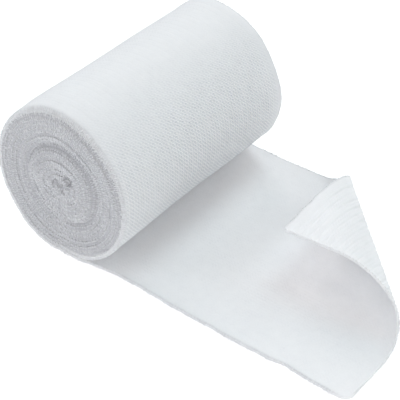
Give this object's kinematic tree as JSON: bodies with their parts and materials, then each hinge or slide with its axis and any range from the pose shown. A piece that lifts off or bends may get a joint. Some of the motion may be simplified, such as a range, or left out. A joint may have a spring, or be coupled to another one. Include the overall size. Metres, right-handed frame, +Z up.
{
  "type": "elastic bandage",
  "caption": "Rolled elastic crepe bandage on its side, with the tail run out flat and the corner of the free end folded back over it.",
  "frame": {"origin": "under the middle of the bandage's footprint, on the surface that it rests on", "axes": "+X along the tail from the roll to the free end, +Y along the roll's axis from the near end to the far end, +Z up"},
  "size_m": [0.1654, 0.1054, 0.0657],
  "materials": {
    "crepe_cloth": "matte white stretch crepe with fine ribs and soft woven edges"
  },
  "bodies": {
    "root": {"bandage_strip": "crepe_cloth"}
  },
  "joints": []
}
